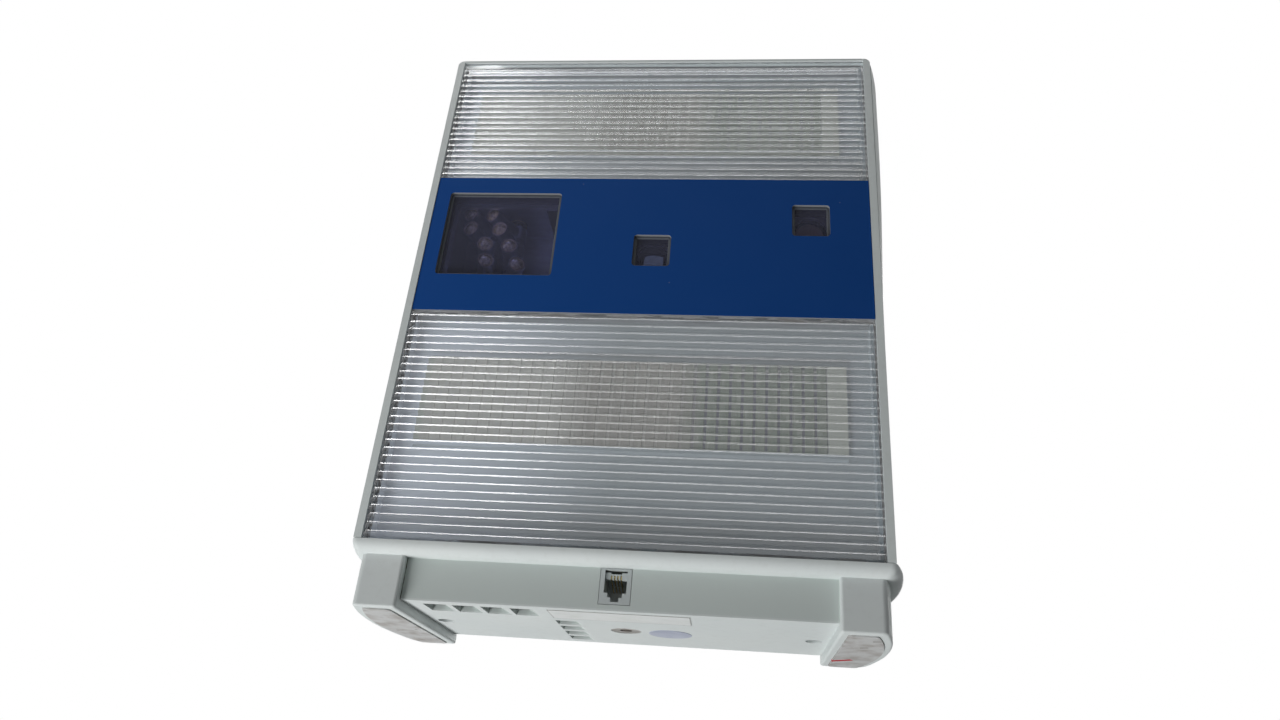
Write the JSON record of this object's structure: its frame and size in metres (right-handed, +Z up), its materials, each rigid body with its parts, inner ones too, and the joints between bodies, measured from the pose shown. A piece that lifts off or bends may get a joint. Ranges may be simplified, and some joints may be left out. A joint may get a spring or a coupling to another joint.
{
  "type": "desktop 3d scanner",
  "caption": "Upright desktop 3D scanner: clear reeded light panels, blue band with laser and camera windows, swept laser columns, bowed housing, padded feet and a tripod thread.",
  "frame": {"origin": "on the surface that the scanner stands on, under the middle of its body", "axes": "+Z up; -Y out of the flat front with the windows; +X to the viewer's right when facing the front"},
  "size_m": [0.224, 0.0914, 0.277],
  "materials": {
    "casing": "satin off-white moulding",
    "rail": "satin grey-white",
    "clear_reeded": "clear, reeded, polished",
    "band_blue": "deep blue print under gloss",
    "smoked_pane": "smoked, polished",
    "dark_plastic": "black matt",
    "reflector": "silver-grey, satin",
    "led_board": "cream solder mask",
    "aluminium": "plain sheet",
    "circuit_board": "green solder mask",
    "steel": "plain",
    "brass": "plain",
    "lens_glass": "coated",
    "black_plastic": "black moulding",
    "acetal": "white acetal",
    "pad_rubber": "soft, dusty",
    "label_white": "plain film",
    "sticker_lavender": "plain film",
    "socket_grey": "grey moulding"
  },
  "bodies": {
    "scanner_body": {"rear_housing": "casing", "base_moulding": "casing", "left_side_rail": "rail", "right_side_rail": "rail", "upper_ribbed_panel": "clear_reeded", "lower_ribbed_panel": "clear_reeded", "band_panel": "band_blue", "laser_window_pane": "smoked_pane", "centre_camera_pane": "smoked_pane", "right_camera_pane": "smoked_pane", "laser_window_hood": "dark_plastic", "camera_window_hoods": "dark_plastic", "upper_light_tray": "reflector", "lower_light_tray": "reflector", "upper_led_board": "led_board", "lower_led_board": "led_board", "chassis": "aluminium", "centre_camera_body": "black_plastic", "centre_camera_board": "circuit_board", "centre_camera_lens": "lens_glass", "right_camera_body": "black_plastic", "right_camera_board": "circuit_board", "right_camera_lens": "lens_glass", "laser_frame": "aluminium", "column_bushes": "brass", "stepper_motor": "steel", "motor_screws": "steel", "main_board": "circuit_board", "board_standoffs": "brass", "board_chips": "black_plastic", "heat_sink": "aluminium", "usb_socket": "steel", "power_inlet": "black_plastic", "power_switch_body": "black_plastic", "fan_frame": "black_plastic", "fan_screws": "steel", "jack_housing": "socket_grey", "jack_contacts": "brass", "left_foot_pad": "pad_rubber", "right_foot_pad": "pad_rubber", "tripod_insert": "brass", "base_screws": "steel", "blank_label": "label_white", "round_sticker": "sticker_lavender"},
    "left_column": {"left_column_shaft": "steel", "left_laser_modules": "aluminium", "left_laser_lenses": "lens_glass", "left_column_gear": "acetal"},
    "right_column": {"right_column_shaft": "steel", "right_laser_modules": "aluminium", "right_laser_lenses": "lens_glass", "right_column_gear": "acetal"},
    "pinion": {"motor_pinion": "brass", "motor_shaft": "steel"},
    "rotor": {"fan_rotor": "black_plastic"},
    "rocker": {"power_rocker": "black_plastic"}
  },
  "joints": [
    {"name": "left_column_sweep", "type": "hinge", "parent": "scanner_body", "child": "left_column", "pos_m": [-0.082, -0.0122, 0.175], "axis": [0, 0, 1], "range_deg": [-12, 12]},
    {"name": "right_column_sweep", "type": "hinge", "parent": "scanner_body", "child": "right_column", "pos_m": [-0.0691, -0.0122, 0.175], "axis": [0, 0, 1], "range_deg": [-12, 12]},
    {"name": "pinion_turn", "type": "hinge", "parent": "scanner_body", "child": "pinion", "pos_m": [-0.07555, -0.00592, 0.155], "axis": [0, 0, 1], "range_deg": [-15, 15]},
    {"name": "fan_spin", "type": "hinge", "parent": "scanner_body", "child": "rotor", "pos_m": [0, 0.0343, 0.226], "axis": [0, 1, 0], "continuous": true},
    {"name": "switch_rock", "type": "hinge", "parent": "scanner_body", "child": "rocker", "pos_m": [-0.04, 0.0403, 0.0434], "axis": [0, 0, -1], "range_deg": [0, 14]}
  ],
  "couplings": [
    {"joint": "right_column_sweep", "follows": "left_column_sweep", "ratio": 1},
    {"joint": "pinion_turn", "follows": "left_column_sweep", "ratio": -1.25}
  ]
}
